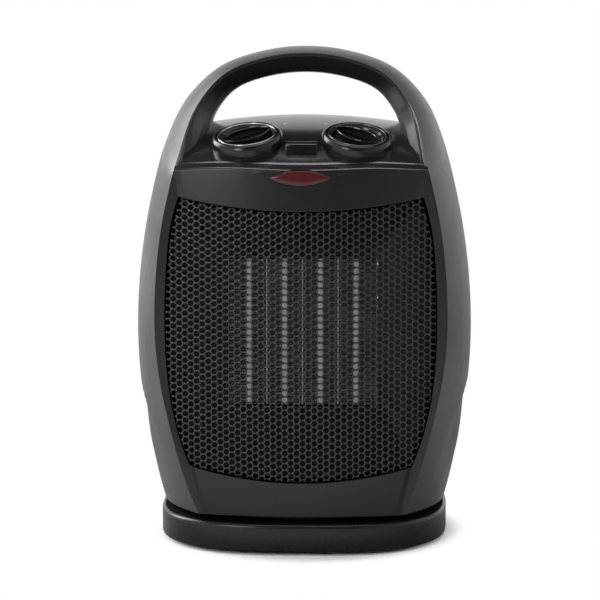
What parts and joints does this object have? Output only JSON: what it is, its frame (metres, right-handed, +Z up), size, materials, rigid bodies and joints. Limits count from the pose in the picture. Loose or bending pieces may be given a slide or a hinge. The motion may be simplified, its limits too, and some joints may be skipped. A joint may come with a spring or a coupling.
{
  "type": "ceramic space heater",
  "caption": "Upright oscillating ceramic fan heater: bowed body with a perforated outlet, carrying handle, rotary controls and push button on a low round-cornered base.",
  "frame": {"origin": "on the floor below the middle of the heater, on the axis about which the body swings over its base", "axes": "+X to the right as seen from the front, -Y out through the outlet grille, +Z up"},
  "size_m": [0.176, 0.1434, 0.2555],
  "materials": {
    "shell_satin": "satin charcoal moulding",
    "face_black": "semi-gloss black moulding",
    "gloss_black": "polished black moulding",
    "mesh_black": "black painted perforated sheet",
    "rubber": "matt",
    "lens_red": "dark red, clear-tinted",
    "nylon": "natural nylon",
    "heat_plastic": "heat-resistant black moulding",
    "aluminium": "bright corrugated strip",
    "ceramic": "unglazed",
    "steel": "zinc plated",
    "laminate": "stacked electrical steel",
    "copper": "enamelled copper wire",
    "switch_body": "moulded phenolic"
  },
  "bodies": {
    "base": {"base_shell": "face_black", "base_plate": "face_black", "foot_front_left": "rubber", "foot_front_right": "rubber", "foot_rear_left": "rubber", "foot_rear_right": "rubber", "base_screw_1": "steel", "base_screw_2": "steel", "base_screw_3": "steel", "base_screw_4": "steel", "glide_ring": "face_black", "cord_gland": "rubber", "tip_switch": "switch_body"},
    "tip_plunger": {"tip_plunger": "nylon"},
    "upper_body": {"side_band": "shell_satin", "handle_liner": "gloss_black", "front_frame": "face_black", "front_grille": "mesh_black", "indicator_lens": "lens_red", "neon_lamp": "lens_red", "control_panel": "gloss_black", "left_knob_collar": "gloss_black", "right_knob_collar": "gloss_black", "thermostat_body": "ceramic", "selector_switch": "switch_body", "swing_switch": "switch_body", "rear_cover": "face_black", "rear_screw_1": "steel", "rear_screw_2": "steel", "rear_screw_3": "steel", "rear_screw_4": "steel", "floor_plate": "face_black", "pivot_retainer": "nylon", "swing_motor": "steel", "heater_frame": "heat_plastic", "ptc_bar_1": "ceramic", "ptc_bar_2": "ceramic", "ptc_bar_3": "ceramic", "ptc_bar_4": "ceramic", "fin_pack_1": "aluminium", "fin_pack_2": "aluminium", "fin_pack_3": "aluminium", "fin_pack_4": "aluminium", "fin_pack_5": "aluminium", "outlet_duct": "heat_plastic", "thermal_cutout": "ceramic", "fan_housing": "heat_plastic", "motor_bracket": "steel", "motor_rear_bearing": "steel", "motor_stator": "laminate", "motor_coil": "copper"},
    "swing_crank": {"swing_crank": "steel"},
    "thermostat_knob": {"thermostat_knob": "gloss_black", "thermostat_shaft": "steel"},
    "selector_knob": {"selector_knob": "gloss_black", "selector_shaft": "steel"},
    "swing_button": {"swing_button": "gloss_black"},
    "fan_rotor": {"fan_impeller": "heat_plastic", "motor_shaft": "steel", "motor_rotor": "laminate"}
  },
  "joints": [
    {"name": "body_swing", "type": "hinge", "parent": "base", "child": "upper_body", "pos_m": [0, 0, 0.0156], "axis": [0, 0, 1], "range_deg": [-30, 30]},
    {"name": "crank_turn", "type": "hinge", "parent": "upper_body", "child": "swing_crank", "pos_m": [0, 0.03, 0.0173], "axis": [0, 0, 1], "range_deg": [-90, 90]},
    {"name": "tip_plunger_slide", "type": "slide", "parent": "base", "child": "tip_plunger", "axis": [0, 0, 1], "range_m": [-0.004, 0], "stiffness_N_per_m": 60, "springref_m": -0.008},
    {"name": "thermostat_turn", "type": "hinge", "parent": "upper_body", "child": "thermostat_knob", "pos_m": [-0.028, -0.0385, 0.2084], "axis": [0.0821, 0.2926, -0.9527], "range_deg": [0, 270]},
    {"name": "selector_turn", "type": "hinge", "parent": "upper_body", "child": "selector_knob", "pos_m": [0.028, -0.0385, 0.2084], "axis": [-0.0821, 0.2926, -0.9527], "range_deg": [0, 135]},
    {"name": "swing_button_press", "type": "slide", "parent": "upper_body", "child": "swing_button", "axis": [0, 0, -1], "range_m": [0, 0.003], "stiffness_N_per_m": 350},
    {"name": "fan_spin", "type": "hinge", "parent": "upper_body", "child": "fan_rotor", "pos_m": [0, 0.01, 0.108], "axis": [0, 1, 0], "continuous": true}
  ],
  "couplings": [
    {"joint": "crank_turn", "follows": "body_swing", "ratio": -3}
  ]
}
